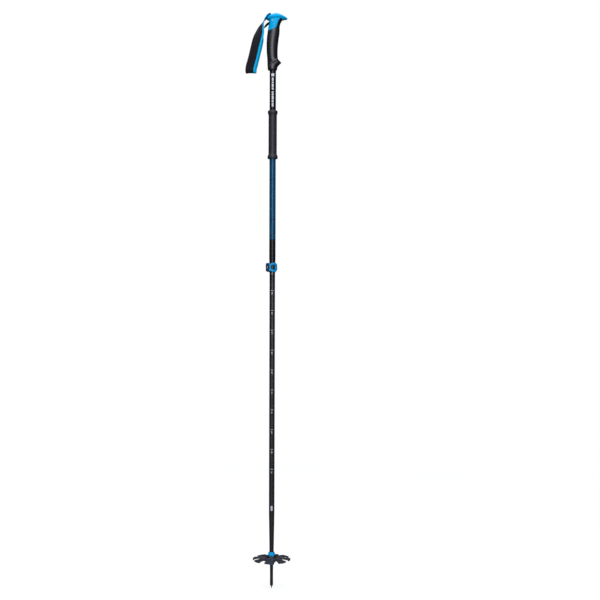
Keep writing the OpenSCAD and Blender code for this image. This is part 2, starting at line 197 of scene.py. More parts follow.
ferrule_black = finish("ferrule_nylon", tone(30, 30, 35), tone(40, 40, 45), 0.42, grain=1400, depth=0.03)
scuff_place = place_of(ferrule_black)
tree = ferrule_black.node_tree
scratches = wire(tree, "TexNoise", {"Scale": 700, "Detail": 5})
low_nose = wire(tree, "MapRange", {"Value": scuff_place.outputs["Z"], "From Min": NOSE_LOW,
                                   "From Max": NOSE_HIGH, "To Min": 0.66, "To Max": 0.9})
scuffed = maths(tree, "GREATER_THAN", scratches.outputs["Fac"], low_nose.outputs["Result"])
paint_over(ferrule_black, scuffed, tone(66, 66, 70))
dress(nodes["tip_ferrule"], ferrule_black)

# ---- Basket -------------------------------------------------------------------------------
# One injection moulding in tough dark nylon: a hub with six low teeth, a shallow cone and
# eight ribbed petals that fall outwards and end in thick turned-down tips. Shade is painted
# in round the hub, where the colour is darkest.
PETALS = 8
FIRST_PETAL = math.radians(-7)
PETAL_FALL = math.radians(7)
PETAL_ROOT_Z = 80.6
TEETH = 6
FIRST_TOOTH = math.radians(30)
HUB_SHADE_TO = 0.013
HUB_SHADE_FADE_TO = 0.018


def alone(piece):
    """Makes one piece the only selected and the active one."""
    bpy.ops.object.select_all(action="DESELECT")
    piece.select_set(True)
    bpy.context.view_layer.objects.active = piece


def settle(piece, name):
    """Names a new piece and puts its place into its mesh."""
    piece.name = name
    alone(piece)
    bpy.ops.object.transform_apply(location=True, rotation=True, scale=True)
    return piece


def close_up(piece):
    """Merges doubles, closes open rims and turns all faces outwards."""
    alone(piece)
    bpy.ops.object.mode_set(mode="EDIT")
    bpy.ops.mesh.select_mode(type="VERT")
    bpy.ops.mesh.select_all(action="SELECT")
    bpy.ops.mesh.remove_doubles(threshold=0.000002)
    bpy.ops.mesh.fill_holes(sides=0)
    bpy.ops.mesh.select_all(action="SELECT")
    bpy.ops.mesh.normals_make_consistent(inside=False)
    bpy.ops.object.mode_set(mode="OBJECT")
    return piece


def smooth(piece, angle=35):
    """Smooth shading that keeps edges sharper than the angle."""
    alone(piece)
    bpy.ops.object.shade_smooth_by_angle(angle=math.radians(angle))
    return piece


def soften(piece, width, angle=35, segments=2):
    """Rounds the sharp edges by a small bevel, in mm, then smooths the shading."""
    alone(piece)
    edge = piece.modifiers.new("edge", "BEVEL")
    edge.width = width * MM
    edge.segments = segments
    edge.limit_method = "ANGLE"
    edge.angle_limit = math.radians(angle)
    edge.use_clamp_overlap = True
    bpy.ops.object.modifier_apply(modifier=edge.name)
    smooth(piece)
    even = piece.modifiers.new("even", "WEIGHTED_NORMAL")
    even.keep_sharp = True
    bpy.ops.object.modifier_apply(modifier=even.name)
    return piece


def turned(name, outline, segments=64):
    """A round body on the shaft axis: a ring drawn up through each (radius, height), in mm."""
    bpy.ops.object.select_all(action="DESELECT")
    radius, height = outline[0]
    bpy.ops.mesh.primitive_circle_add(vertices=segments, radius=radius * MM,
                                      location=(0, 0, height * MM))
    piece = settle(bpy.context.object, name)
    bpy.ops.object.mode_set(mode="EDIT")
    bpy.ops.mesh.select_mode(type="VERT")
    bpy.ops.mesh.select_all(action="SELECT")
    for wide, high in outline[1:]:
        spread = wide / radius
        bpy.ops.mesh.extrude_region_move(TRANSFORM_OT_translate={"value": (0, 0, (high - height) * MM)})
        bpy.ops.transform.resize(value=(spread, spread, 1), center_override=(0, 0, high * MM))
        radius, height = wide, high
    bpy.ops.object.mode_set(mode="OBJECT")
    return close_up(piece)


def plate(name, outline, across, low, high):
    """A flat plate, in mm: across Y its outline is (x, z), across Z it is (x, y)."""
    bpy.ops.object.select_all(action="DESELECT")
    bpy.ops.mesh.primitive_circle_add(vertices=len(outline), radius=0.01, fill_type="NGON")
    piece = settle(bpy.context.object, name)
    for corner, (a, b) in zip(piece.data.vertices, outline):
        corner.co = Vector((a, low, b) if across == "Y" else (a, b, low)) * MM
    bpy.ops.object.mode_set(mode="EDIT")
    bpy.ops.mesh.select_mode(type="VERT")
    bpy.ops.mesh.select_all(action="SELECT")
    rise = (0, (high - low) * MM, 0) if across == "Y" else (0, 0, (high - low) * MM)
    bpy.ops.mesh.extrude_region_move(TRANSFORM_OT_translate={"value": rise})
    bpy.ops.object.mode_set(mode="OBJECT")
    return close_up(piece)


def pick_faces(piece, test):
    """In edit mode, selects just the faces whose middle and normal pass the test."""
    bpy.ops.mesh.select_all(action="DESELECT")
    bpy.ops.object.mode_set(mode="OBJECT")
    for face in piece.data.polygons:
        face.select = test(face.center / MM, face.normal)
    bpy.ops.object.mode_set(mode="EDIT")
    bpy.ops.mesh.select_mode(type="FACE")


def joined(name, *parts):
    """Joins shells into one piece."""
    alone(parts[0])
    for part in parts:
        part.select_set(True)
    bpy.ops.object.join()
    return settle(parts[0], name)


def ring_of(piece, count, first):
    """A piece and its copies, evenly round the shaft axis from the first one's angle."""
    ring = [piece]
    for k in range(1, count):
        more = piece.copy()
        more.data = piece.data.copy()
        scene.collection.objects.link(more)
        ring.append(more)
    for k, each in enumerate(ring):
        each.data.transform(Matrix.Rotation(first + k * 2 * math.pi / count, 4, "Z"))
    return ring


half_petal = [(13, 6), (20, 8.6), (26, 9.4), (31, 9), (36, 9.4), (41, 10.8), (44.6, 11.6), (47, 10.6),
              (46.6, 7.6), (47.6, 4)]
petal_outline = [(48.4, 0)] + half_petal[::-1] + [(x, -y) for x, y in half_petal]
petal_pan = plate("petal", petal_outline, "Z", -1.8, 0)
bpy.ops.object.mode_set(mode="EDIT")
pick_faces(petal_pan, lambda place, normal: normal.z > 0.9)
bpy.ops.mesh.inset(thickness=1.3 * MM, depth=0)
bpy.ops.mesh.inset(thickness=0.5 * MM, depth=-0.9 * MM)
bpy.ops.object.mode_set(mode="OBJECT")
tip_outline = [(44.6, -11.6), (47, -10.6), (46.6, -7.6), (47.6, -4), (48.5, 0), (47.6, 4), (46.6, 7.6),
               (47, 10.6), (44.6, 11.6), (43.4, 8), (44.2, 0), (43.4, -8)]
petal_tip = plate("petal_tip", tip_outline, "Z", -3.5, -1.2)
spine_outline = [(9.6, -1.2), (46, -1.2), (46, 0), (34, 0.5), (18, 0.9), (9.6, 0.9)]
petal_spine = plate("petal_spine", spine_outline, "Y", -0.9, 0.9)
left_rib = plate("left_rib", [(16, 1.1), (17.6, 0.1), (44.4, 7.6), (43.4, 9.2)], "Z", -1.2, -0.1)
right_rib = plate("right_rib", [(16, -1.1), (43.4, -9.2), (44.4, -7.6), (17.6, -0.1)], "Z", -1.2, -0.1)
petal = joined("petal", petal_pan, petal_tip, petal_spine, left_rib, right_rib)
soften(petal, 0.3)
petal.data.transform(Matrix.Translation((0, 0, PETAL_ROOT_Z * MM)) @ Matrix.Rotation(PETAL_FALL, 4, "Y"))
hub = turned("hub", [(5.35, 64), (8, 64), (9.6, 66.5), (9.6, 75), (27, 73), (27.6, 73.6), (27, 75.1),
                     (18, 77), (11.4, 78.6), (9.9, 79.2), (9.6, 80), (9.6, 81.7), (9.1, 81.9),
                     (5.35, 81.9), (5.35, 64)])
petals = ring_of(petal, PETALS, FIRST_PETAL)
tooth = plate("tooth", [(7, -1.6), (9, -1.6), (9, 1.6), (7, 1.6)], "Z", 81.5, 84.2)
teeth = ring_of(tooth, TEETH, FIRST_TOOTH)
snow_basket = joined("snow_basket", hub, *petals, *teeth)
smooth(snow_basket)
basket_nylon = finish("basket_nylon", tone(52, 51, 58), tone(70, 69, 78), 0.42,
                      grain=700, depth=0.05, mottle=160, gloss=0.6)
tree = basket_nylon.node_tree
spot = place_of(basket_nylon)
x_square = maths(tree, "MULTIPLY", spot.outputs["X"], spot.outputs["X"])
y_square = maths(tree, "MULTIPLY", spot.outputs["Y"], spot.outputs["Y"])
from_axis = maths(tree, "SQRT", maths(tree, "ADD", x_square, y_square))
# Painted shade round the hub: the colour darkens towards the axis.
hub_painted_shade = wire(tree, "MapRange", {"Value": from_axis, "From Min": HUB_SHADE_TO, "From Max": HUB_SHADE_FADE_TO,
                                   "To Min": 0.9, "To Max": 0})
paint_over(basket_nylon, hub_painted_shade.outputs["Result"], tone(20, 18, 23))
dress(snow_basket, basket_nylon)
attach(snow_basket, "lower_section")
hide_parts("basket")

# ---- Basket collar and retainer -----------------------------------------------------------
# A six-sided blue collar holds the basket from above; its lower rim is notched for the hub's
# teeth, and its sleeve runs down through the hub into a snap ring below.
COLLAR_LOW = 82
COLLAR_HIGH = 91.6


def rod(radius, start, end, segments=48):
    """A round bar between two points, in mm."""
    a, b = Vector(start) * MM, Vector(end) * MM
    bpy.ops.object.select_all(action="DESELECT")
    bpy.ops.mesh.primitive_cylinder_add(vertices=segments, radius=radius * MM, depth=(b - a).length,
                                        location=(a + b) / 2,
                                        rotation=(b - a).to_track_quat("Z", "Y").to_euler())
    return settle(bpy.context.object, "rod")


def block(low, high):
    """A box between two corners, in mm."""
    a, b = Vector(low) * MM, Vector(high) * MM
    bpy.ops.object.select_all(action="DESELECT")
    bpy.ops.mesh.primitive_cube_add(size=1, location=(a + b) / 2, scale=b - a)
    return settle(bpy.context.object, "block")


def cut(piece, tool, how="DIFFERENCE"):
    """Cuts a tool out of a piece, or keeps or adds what they share, and drops the tool."""
    alone(piece)
    step = piece.modifiers.new("cut", "BOOLEAN")
    step.operation = how
    step.object = tool
    step.solver = "EXACT"
    bpy.ops.object.modifier_apply(modifier=step.name)
    bpy.data.objects.remove(tool)
    return piece


bpy.ops.object.select_all(action="DESELECT")
bpy.ops.mesh.primitive_cone_add(vertices=6, radius1=9.6 * MM, radius2=7.5 * MM,
                                depth=(COLLAR_HIGH - COLLAR_LOW) * MM,
                                location=(0, 0, (COLLAR_LOW + COLLAR_HIGH) / 2 * MM),
                                rotation=(0, 0, math.radians(30)))
hex_collar = settle(bpy.context.object, "hex_collar")
bpy.ops.object.mode_set(mode="EDIT")
pick_faces(hex_collar, lambda place, normal: normal.z > 0.9)
bpy.ops.mesh.inset(thickness=1.1 * MM, depth=0)
bpy.ops.mesh.extrude_region_move(TRANSFORM_OT_translate={"value": (0, 0, -0.5 * MM)})
bpy.ops.object.mode_set(mode="OBJECT")
for k in range(TEETH):
    angle = math.radians(30 + 60 * k)
    away = Vector((math.cos(angle), math.sin(angle), 0))
    lower_rim = Vector((0, 0, COLLAR_LOW))
    cut(hex_collar, rod(2.5, away * 6.4 + lower_rim, away * 14 + lower_rim, 32))
cut(hex_collar, rod(5.55, (0, 0, 70), (0, 0, 100)))
soften(hex_collar, 0.35, angle=28)
collar_sleeve = turned("collar_sleeve", [(4.25, 60), (5.25, 60), (5.25, 84), (4.25, 84), (4.25, 60)], 48)
basket_collar = joined("basket_collar_six_sided", hex_collar, collar_sleeve)
smooth(basket_collar)
collar_blue = finish("collar_blue", tone(0, 170, 240), tone(0, 186, 252), 0.36,
                     grain=1200, depth=0.02, gloss=0.06)
dress(basket_collar, collar_blue)
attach(basket_collar, "lower_section")
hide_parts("basket_collar")
snap_ring = turned("snap_ring", [(5.3, 59.6), (6.2, 59.6), (6.7, 60.1), (6.7, 63.3), (6.2, 63.8),
                                 (5.3, 63.8), (5.3, 59.6)])
smooth(snap_ring)
dress(snap_ring, collar_blue)
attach(snap_ring, "lower_section")
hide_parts("basket_retainer")

# ---- Lower shaft --------------------------------------------------------------------------
# Drawn aluminium tube in black lacquer, tapered above the basket, with a printed length
# scale: a short light line across the front every 50 mm and the pole length under each.
# One plain white bar is printed lower down.
SCALE_STEP = 50
SCALE_LOW = 300
SCALE_HIGH = 800
SCALE_RISE = 0.8
LINE_HALF_THICK = 0.0006
LINE_HALF_WIDE = 0.0034
FIGURE_SIZE = 4.2
FIGURE_BELOW = 7.4
FULL_LENGTH_CM = 145
PRINT_START_Y = -12
PRINT_LIFT = 0.04
LOW_BAR = (196.5, 208.5)
BAR_WIDTH = 4.6

lower_lacquer = finish("lower_lacquer", tone(34, 33, 39), tone(42, 41, 48), 0.32,
                       grain=1500, depth=0.003, gloss=0.5)
tree = lower_lacquer.node_tree
spot = place_of(lower_lacquer)
from_mark = maths(tree, "SUBTRACT", spot.outputs["Z"], SCALE_RISE * MM)
to_mark = maths(tree, "PINGPONG", from_mark, SCALE_STEP * MM / 2)
near_mark = maths(tree, "LESS_THAN", to_mark, LINE_HALF_THICK)
in_scale = maths(tree, "COMPARE", spot.outputs["Z"], (SCALE_LOW + SCALE_HIGH) / 2 * MM,
                 (SCALE_HIGH - SCALE_LOW) / 2 * MM + 0.01)
in_front = maths(tree, "MULTIPLY", maths(tree, "COMPARE", spot.outputs["X"], 0, LINE_HALF_WIDE),
                 maths(tree, "LESS_THAN", spot.outputs["Y"], 0))
scale_lines = maths(tree, "MULTIPLY", maths(tree, "MULTIPLY", near_mark, in_scale), in_front)
paint_over(lower_lacquer, scale_lines, tone(205, 208, 212))
dress(nodes["lower_shaft"], lower_lacquer)

printed_white = finish("printed_white", tone(214, 217, 222), tone(232, 234, 238), 0.45,
                       grain=1500, depth=0.004)


def pressed_on(piece, onto):
    """Presses a flat print back on to a tube's front, a hair proud of it."""
    alone(piece)
    press = piece.modifiers.new("press", "SHRINKWRAP")
    press.wrap_method = "PROJECT"
    press.use_project_y = True
    press.use_positive_direction = True
    press.use_negative_direction = False
    press.target = onto
    press.offset = PRINT_LIFT * MM
    bpy.ops.object.modifier_apply(modifier=press.name)
    dress(piece, printed_white)
    return piece


def printed(name, words, size, height, onto):
    """Figures printed on a tube's front, reading upwards: flat type made a mesh and cut fine."""
    bpy.ops.object.select_all(action="DESELECT")
    bpy.ops.object.text_add(location=(0, 0, 0))
    piece = bpy.context.object
    piece.data.body = words
    piece.data.align_x = "CENTER"
    piece.data.align_y = "CENTER"
    piece.data.size = size * MM
    piece.data.offset = 0.13 * MM
    piece.data.resolution_u = 4
    bpy.ops.object.convert(target="MESH")
    piece = bpy.context.object
    piece.rotation_euler = (math.radians(90), math.radians(-90), 0)
    piece.location = Vector((0, PRINT_START_Y, height)) * MM
    settle(piece, name)
    bpy.ops.object.mode_set(mode="EDIT")
    bpy.ops.mesh.select_mode(type="VERT")
    bpy.ops.mesh.select_all(action="SELECT")
    bpy.ops.mesh.remove_doubles(threshold=0.00001)
    for k in range(-5, 6):
        bpy.ops.mesh.select_all(action="SELECT")
        bpy.ops.mesh.bisect(plane_co=(k * 0.6 * MM, 0, 0), plane_no=(1, 0, 0))
    bpy.ops.object.mode_set(mode="OBJECT")
    return pressed_on(piece, onto)


def printed_bar(low, high, wide, onto):
    """One plain white bar printed on the front of a tube."""
    centre = Vector((0, PRINT_START_Y, (low + high) / 2)) * MM
    bpy.ops.object.select_all(action="DESELECT")
    bpy.ops.mesh.primitive_grid_add(x_subdivisions=8, y_subdivisions=2, size=1, location=centre,
                                    rotation=(math.radians(90), 0, 0))
    piece = settle(bpy.context.object, "bar")
    bpy.ops.object.mode_set(mode="EDIT")
    bpy.ops.mesh.select_all(action="SELECT")
    bpy.ops.transform.resize(value=(wide * MM, 1, (high - low) * MM), center_override=centre)
    bpy.ops.object.mode_set(mode="OBJECT")
    return pressed_on(piece, onto)


figures = []
for height in range(SCALE_LOW, SCALE_HIGH + 1, SCALE_STEP):
    length = round(FULL_LENGTH_CM - (SCALE_HIGH - height) / 10)
    figures.append(printed("figure", str(length), FIGURE_SIZE, height + SCALE_RISE - FIGURE_BELOW,
                           nodes["lower_shaft"]))
figures.append(printed_bar(*LOW_BAR, BAR_WIDTH, nodes["lower_shaft"]))
scale_figures = joined("scale_figures", *figures)
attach(scale_figures, "lower_section")
dress(nodes["lower_guide"], finish("guide_nylon", tone(60, 60, 62), tone(74, 74, 77), 0.5))

# ---- Upper shaft --------------------------------------------------------------------------
# The larger tube: black lacquer with one blue lacquered band that has thin dark rings and
# slanting pin lines, and a plain printed pattern of white bars below the grip.
BAND_LOW = 0.880
BAND_HIGH = 1.083
OUTER_SKIN = 0.0076

upper_lacquer = finish("upper_lacquer", tone(18, 17, 23), tone(25, 24, 31), 0.32,
                       grain=1500, depth=0.003, gloss=0.3)
tree = upper_lacquer.node_tree
spot = place_of(upper_lacquer)
x_at, y_at, z_at = spot.outputs["X"], spot.outputs["Y"], spot.outputs["Z"]
x_square = maths(tree, "MULTIPLY", x_at, x_at)
y_square = maths(tree, "MULTIPLY", y_at, y_at)
outside = maths(tree, "GREATER_THAN", maths(tree, "ADD", x_square, y_square), OUTER_SKIN ** 2)
band = maths(tree, "COMPARE", z_at, (BAND_LOW + BAND_HIGH) / 2, (BAND_HIGH - BAND_LOW) / 2)
for ring_z in (0.9295, 1.0306):
    off_ring = maths(tree, "COMPARE", z_at, ring_z, 0.0009)
    band = maths(tree, "SUBTRACT", band, off_ring)
for line_z, lean in ((1.068, -1.3), (0.966, -1.3), (0.893, 1.3)):
    level = maths(tree, "MULTIPLY_ADD", x_at, lean, line_z)
    off_line = maths(tree, "COMPARE", z_at, level, 0.0006)
    band = maths(tree, "SUBTRACT", band, off_line)
band = maths(tree, "MULTIPLY", maths(tree, "GREATER_THAN", band, 0.5), outside)
paint_over(upper_lacquer, band, tone(20, 82, 120))
metal_flake = maths(tree, "MULTIPLY", band, 0.25)
tree.links.new(metal_flake, tree.nodes["Principled BSDF"].inputs["Metallic"])
dress(nodes["upper_shaft"], upper_lacquer)

BARS = [(1214, 1223), (1224.4, 1230), (1231.4, 1240.6), (1242, 1247), (1248.4, 1252.4), (1256.6, 1262),
        (1263.4, 1271), (1272.4, 1277), (1278.4, 1287)]
TOP_BAR = (1290.4, 1297.6)
TOP_BAR_WIDTH = 7.2
bars = [printed_bar(low, high, BAR_WIDTH, nodes["upper_shaft"]) for low, high in BARS]
bars.append(printed_bar(*TOP_BAR, TOP_BAR_WIDTH, nodes["upper_shaft"]))
shaft_bars = joined("shaft_bars", *bars)
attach(shaft_bars, "handle")
dress(nodes["shaft_plug"], finish("plug_nylon", tone(60, 60, 62), tone(74, 74, 77), 0.5))

# ---- Clamp body ---------------------------------------------------------------------------
# A split glass-filled sleeve round the slit end of the upper tube, a rubber wiper in its
# mouth, a forged and anodised back plate, and an eye bolt with a knurled nut behind. The
# back plate's inner face is darkened with painted shade.
CLAMP_MID = 809.5
HINGE_X = -12.3
HINGE_Y = -9.5

wiper_rubber = finish("wiper_rubber", tone(22, 22, 24), tone(32, 32, 34), 0.6, grain=1800, depth=0.03)
dress(nodes["shaft_wiper"], wiper_rubber)
clamp_black = finish("clamp_nylon", tone(26, 26, 29), tone(38, 38, 42), 0.4, grain=1300, depth=0.03)
dress(nodes["clamp_sleeve"], clamp_black)
dress(nodes["clamp_cam_pad"], clamp_black)


def melted(piece, pitch, passes):
    """Rounds every edge as a forging or moulding has it: an even fine mesh, in mm, then smoothed."""
    alone(piece)
    even = piece.modifiers.new("even", "REMESH")
    even.mode = "VOXEL"
    even.voxel_size = pitch * MM
    bpy.ops.object.modifier_apply(modifier=even.name)
    round_off = piece.modifiers.new("round_off", "SMOOTH")
    round_off.factor = 0.5
    round_off.iterations = passes
    bpy.ops.object.modifier_apply(modifier=round_off.name)
    bpy.ops.object.shade_smooth()
    return piece


yoke_outline = [(-15.6, -8.4), (-13.2, -11.2), (5.1, -11.2), (5.1, 11.2), (-13.2, 11.2), (-15.6, 8.4)]
yoke = plate("yoke", [(x, z + CLAMP_MID) for x, z in yoke_outline], "Y", 4.7, 10.8)
cut(yoke, rod(9.46, (0, 0, CLAMP_MID - 20), (0, 0, CLAMP_MID + 20), 96))
cut(yoke, block((-30, 0, CLAMP_MID - 2.3), (-9.2, 20, CLAMP_MID + 2.3)))
recess = [(-20, -4.2), (-8, -3.2), (-1, -1.3), (0.2, 0), (-1, 1.3), (-8, 3.2), (-20, 4.2)]
cut(yoke, plate("recess", [(x, z + CLAMP_MID) for x, z in recess], "Y", 10, 14))
melted(yoke, 0.3, 6)
clamp_back = joined("clamp_back_plate", yoke)
anodised_blue = finish("anodised_blue", tone(0, 96, 168), tone(0, 122, 200), 0.34,
                       grain=2600, depth=0.008, metal=0.3, gloss=0.3)
y_at = place_of(anodised_blue).outputs["Y"]
# Painted shade: the back plate's inner face is darkened to navy.
inner_face_painted_shade = wire(anodised_blue.node_tree, "MapRange",
                  {"Value": y_at, "From Min": 0.0054, "From Max": 0.0072, "To Min": 1, "To Max": 0})
paint_over(anodised_blue, inner_face_painted_shade.outputs["Result"], tone(10, 34, 58))
dress(clamp_back, anodised_blue)
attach(clamp_back, "handle")
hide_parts("clamp_yoke")

steel = finish("plated_steel", tone(104, 106, 112), tone(138, 140, 146), 0.36,
               grain=2400, depth=0.008, metal=1)
for name in ("clamp_eye_bolt", "clamp_hinge_pin", "clamp_washer"):
    dress(nodes[name], steel)

bpy.ops.object.select_all(action="DESELECT")
bpy.ops.mesh.primitive_cylinder_add(vertices=48, radius=3.45 * MM, depth=3.9 * MM,
                                    location=(HINGE_X * MM, 13.05 * MM, CLAMP_MID * MM),
                                    rotation=(math.radians(90), 0, 0))
nut = settle(bpy.context.object, "nut")
bpy.ops.object.mode_set(mode="EDIT")
pick_faces(nut, lambda place, normal: abs(normal.y) < 0.1
           and round(math.degrees(math.atan2(normal.z, normal.x)) / 7.5) % 3 == 0)
bpy.ops.mesh.inset(thickness=0.12 * MM, depth=-0.2 * MM, use_individual=True)
bpy.ops.object.mode_set(mode="OBJECT")
cut(nut, rod(2, (HINGE_X, 5, CLAMP_MID), (HINGE_X, 20, CLAMP_MID), 32))
soften(nut, 0.2, angle=50)
knurled_nut = joined("knurled_nut", nut)
dress(knurled_nut, steel)
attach(knurled_nut, "nut")
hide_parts("clamp_nut")

# ---- Clamp lever --------------------------------------------------------------------------
# A forged aluminium cam lever, anodised blue: a fork on the hinge pin, a D-shaped face with
# a window, and an end that follows the shaft round to the right. Shade on the fork side is
# painted in as a dark navy.


def arc(radius, centre, start, end, steps):
    """Points of an arc in the X-Z plane, angles in degrees."""
    made = []
    for k in range(steps + 1):
        angle = math.radians(start + (end - start) * k / steps)
        made.append((centre[0] + radius * math.cos(angle), centre[1] + radius * math.sin(angle)))
    return made


lever = rod(12.3, (0, 0, CLAMP_MID - 11.2), (0, 0, CLAMP_MID + 11.2), 96)
face_outline = arc(11.2, (3.4, CLAMP_MID), 100, 260, 24)
face_outline += [(7.6, CLAMP_MID - 11.2), (12.4, CLAMP_MID - 7.2), (12.4, CLAMP_MID + 7.2),
                 (7.6, CLAMP_MID + 11.2)]
cut(lever, plate("lever_face", face_outline, "Y", -16, 4), "INTERSECT")
cut(lever, block((-8.4, -20, CLAMP_MID - 14), (31, 4, CLAMP_MID + 14)), "INTERSECT")
fork = plate("fork", [(-13.8, -12.9), (-4.5, -11.9), (-6.2, -7.8), (-10.1, -6.6)], "Z",
             CLAMP_MID - 10, CLAMP_MID + 10)
cut(lever, fork, "UNION")
cut(lever, rod(3.8, (HINGE_X, HINGE_Y, CLAMP_MID - 10), (HINGE_X, HINGE_Y, CLAMP_MID + 10), 48), "UNION")
cut(lever, rod(10.1, (0, 0, CLAMP_MID - 20), (0, 0, CLAMP_MID + 20), 96))
cut(lever, block((-30, -30, CLAMP_MID - 2.1), (HINGE_X + 4.9, 10, CLAMP_MID + 2.1)))
window = arc(6.9, (3.2, CLAMP_MID), 100, 260, 16) + [(6.6, CLAMP_MID - 6), (6.6, CLAMP_MID + 6)]
cut(lever, plate("window", window, "Y", -20, -5))
cut(lever, rod(2.05, (HINGE_X, HINGE_Y, CLAMP_MID - 20), (HINGE_X, HINGE_Y, CLAMP_MID + 20), 32))
melted(lever, 0.22, 12)
cam_lever = joined("cam_lever", lever)
lever_blue = finish("lever_blue", tone(0, 160, 232), tone(0, 174, 242), 0.28,
                    grain=2600, depth=0.008, gloss=0.16)
x_at = place_of(lever_blue).outputs["X"]
# Painted shade: the fork side of the lever is darkened to navy.
fork_painted_shade = wire(lever_blue.node_tree, "MapRange",
                 {"Value": x_at, "From Min": -0.0076, "From Max": -0.0062, "To Min": 1, "To Max": 0})
paint_over(lever_blue, fork_painted_shade.outputs["Result"], tone(12, 44, 72))
dress(cam_lever, lever_blue)
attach(cam_lever, "lever")
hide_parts("clamp_lever")

# ---- Foam extension -----------------------------------------------------------------------
# A sleeve of closed-cell foam pushed over the upper tube for a low hand hold, turned smooth
# with a rolled rim at each end.
FOAM_LOW = 1083
OVER_TUBE = 8.02

foam_outline = [(OVER_TUBE, 0), (11.4, 0), (12.3, 0.5), (12.8, 2), (12.9, 4.4), (12.7, 6.6), (12, 8.8),
                (11, 10.8), (10.6, 12.4), (10.5, 16), (10.5, 108), (10.6, 110.4), (11.1, 112.4),
                (11.9, 114.2), (12.35, 116.4), (12.4, 118.6), (12.1, 120.4), (11.4, 121.6), (10.8, 122),
                (OVER_TUBE, 122), (OVER_TUBE, 0)]
foam_sleeve = turned("foam_sleeve", [(r, z + FOAM_LOW) for r, z in foam_outline], 72)
smooth(foam_sleeve, 50)
grip_foam = finish("grip_foam", tone(34, 33, 39), tone(43, 42, 49), 0.55,
                   grain=1600, depth=0.06, mottle=240, gloss=0.55)
dress(foam_sleeve, grip_foam)
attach(foam_sleeve, "handle")
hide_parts("foam_extension")

# ---- Grip ---------------------------------------------------------------------------------
# Soft rubber moulded over the head's hollow core: waisted for the hand, ribbed in front,
# with a spur and a slanting groove at its foot, cut out behind for the hard panel.
GRIP = [(1307, -11.2, 9.8, 11, 2.2), (1308.4, -12.5, 10.6, 12, 2.2), (1311, -13, 11, 12.4, 2.2),
        (1316, -13.4, 12.4, 13, 2.2), (1321, -13.6, 16.5, 13, 2.1), (1325.5, -13.8, 21, 12.6, 2),
        (1330, -13.9, 17.5, 13, 2.1), (1336, -14.2, 12.9, 13.4, 2.2), (1345, -15, 12.1, 14, 2.2),
        (1360, -15.9, 12.2, 14.6, 2.2), (1375, -15.9, 13.3, 14.8, 2.2), (1388, -15.3, 14.9, 14.6, 2.2),
        (1400, -13.8, 16.6, 14.2, 2.2), (1411, -12.2, 16.9, 14.4, 2.4), (1420, -10.6, 17.4, 15, 2.8),
        (1427, -9.6, 19.6, 15.4, 3), (1432, -9.8, 22.4, 15.6, 3), (1436, -10.5, 25, 15, 2.8)]
CORE_RADIUS = 9.58
CORE_LOW = 1318


def eased(rows, parts):
    """The same rows with even steps between them, on a smooth curve through every row."""
    made = []
    for k in range(len(rows) - 1):
        before, start = rows[max(k - 1, 0)], rows[k]
        end, after = rows[k + 1], rows[min(k + 2, len(rows) - 1)]
        for step in range(parts):
            t = step / parts
            point = []
            for a, b, c, d in zip(before, start, end, after):
                bend = (2 * a - 5 * b + 4 * c - d) * t * t + (3 * b - a - 3 * c + d) * t ** 3
                point.append(0.5 * (2 * b + (c - a) * t + bend))
            made.append(tuple(point))
    made.append(tuple(rows[-1]))
    return made


def lofted(name, rings, segments=112):
    """A skin through rings: each is a middle, half sizes along X, Y and Z, in mm, and a squareness.

    A half size of 1 marks the axis that the rings lie across.
    """
    across_x = rings[0][1][0] == 1
    bpy.ops.object.select_all(action="DESELECT")
    bpy.ops.mesh.primitive_circle_add(vertices=segments, radius=1,
                                      rotation=(0, math.pi / 2 if across_x else 0, 0))
    piece = settle(bpy.context.object, name)
    bpy.ops.object.mode_set(mode="EDIT")
    bpy.ops.mesh.select_mode(type="VERT")
    bpy.ops.mesh.select_all(action="SELECT")
    middle = Vector((0, 0, 0))
    half = (1, 1 / MM, 1 / MM) if across_x else (1 / MM, 1 / MM, 1)
    for k, (next_middle, next_half, power) in enumerate(rings):
        move = (Vector(next_middle) - middle) * MM
        if k == 0:
            bpy.ops.transform.translate(value=move)
        else:
            bpy.ops.mesh.extrude_region_move(TRANSFORM_OT_translate={"value": move})
        size = [b / a for a, b in zip(half, next_half)]
        bpy.ops.transform.resize(value=size, center_override=Vector(next_middle) * MM)
        middle, half = Vector(next_middle), next_half
    bpy.ops.object.mode_set(mode="OBJECT")
    for k, vertex in enumerate(piece.data.vertices):
        middle, half, power = rings[k // segments]
        for axis in range(3):
            if half[axis] != 1:
                share = (vertex.co[axis] / MM - middle[axis]) / half[axis]
                squared = math.copysign(abs(share) ** (2 / power), share)
                vertex.co[axis] = (middle[axis] + squared * half[axis]) * MM
    return close_up(piece)


def grip_form(name):
    """The whole grip below the head as one skin."""
    rings = []
    for z, back, front, side, power in eased(GRIP, 8):
        rings.append((((back + front) / 2, 0, z), ((front - back) / 2, side, 1), power))
    return lofted(name, rings)


PANEL_SIDE = [(-30, 1404.2), (-11.4, 1405), (-5.5, 1406.2), (0, 1408.5), (4.6, 1410.2), (8.8, 1412.8),
              (10.4, 1416.4), (12.1, 1423), (14.6, 1429.4), (17.5, 1434), (17.5, 1470), (-30, 1470)]

rubber_grip = grip_form("rubber_grip")


def between(value, low, high, edge):
    """1 between two limits, falling smoothly to 0 over the edge outside them."""
    share = max(0, min(1, 1 - max(low - value, value - high) / edge))
    return share * share * (3 - 2 * share)


def pommel_and_ribs(at):
    """How far the rubber stands out at a place: a ridge over a slanting groove, and ribs in front."""
    level = (at.z - 1322.6) * 0.885 - at.x * 0.466
    slant = 0.9 * math.exp(-((level - 2.4) / 1.7) ** 2) - 1.2 * math.exp(-((level + 0.7) / 1.4) ** 2)
    ribs = 0.22 * math.cos(2 * math.pi * at.z / 5.2) - 0.1
    in_ribs = between(at.z, 1341, 1401, 5) * between(at.x, 4, 40, 3)
    return slant * between(at.x, -6, 8.5, 3.5) + ribs * in_ribs


